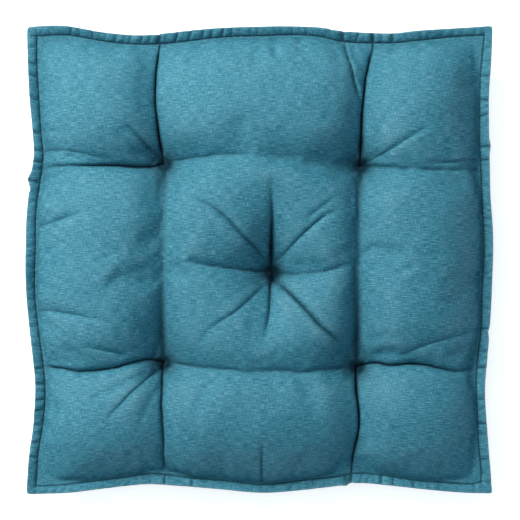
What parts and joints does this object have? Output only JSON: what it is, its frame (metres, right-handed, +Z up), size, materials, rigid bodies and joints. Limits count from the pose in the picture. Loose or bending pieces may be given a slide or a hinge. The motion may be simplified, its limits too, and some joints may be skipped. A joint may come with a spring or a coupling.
{
  "type": "floor cushion",
  "caption": "Square floor cushion of plain canvas, filled with fibre, tufted at its centre and near each corner, with a flat topstitched flange all round.",
  "frame": {"origin": "on the floor under the middle of the cushion, at the bottom centre of its bounding box", "axes": "+Z up, through the thickness; +X to the right and +Y to the back along the square's edges"},
  "size_m": [0.6, 0.6, 0.115],
  "materials": {
    "canvas": "plain-weave cotton canvas, matt, teal blue",
    "sewing_thread": "spun polyester sewing thread, teal blue, a shade darker than the canvas",
    "twine": "waxed twisted tufting twine, dark teal blue",
    "fibre": "loose off-white polyester fibre"
  },
  "bodies": {
    "root": {"top_panel": "canvas", "bottom_panel": "canvas", "fibre_filling": "fibre", "topstitch_needle_thread_front": "sewing_thread", "topstitch_needle_thread_right": "sewing_thread", "topstitch_needle_thread_back": "sewing_thread", "topstitch_needle_thread_left": "sewing_thread", "topstitch_bobbin_thread_front": "sewing_thread", "topstitch_bobbin_thread_right": "sewing_thread", "topstitch_bobbin_thread_back": "sewing_thread", "topstitch_bobbin_thread_left": "sewing_thread", "edge_seam_thread_front": "sewing_thread", "edge_seam_thread_right": "sewing_thread", "edge_seam_thread_back": "sewing_thread", "edge_seam_thread_left": "sewing_thread", "tuft_tie_centre": "twine", "tuft_tie_back_left": "twine", "tuft_tie_back_right": "twine", "tuft_tie_front_left": "twine", "tuft_tie_front_right": "twine"}
  },
  "joints": []
}
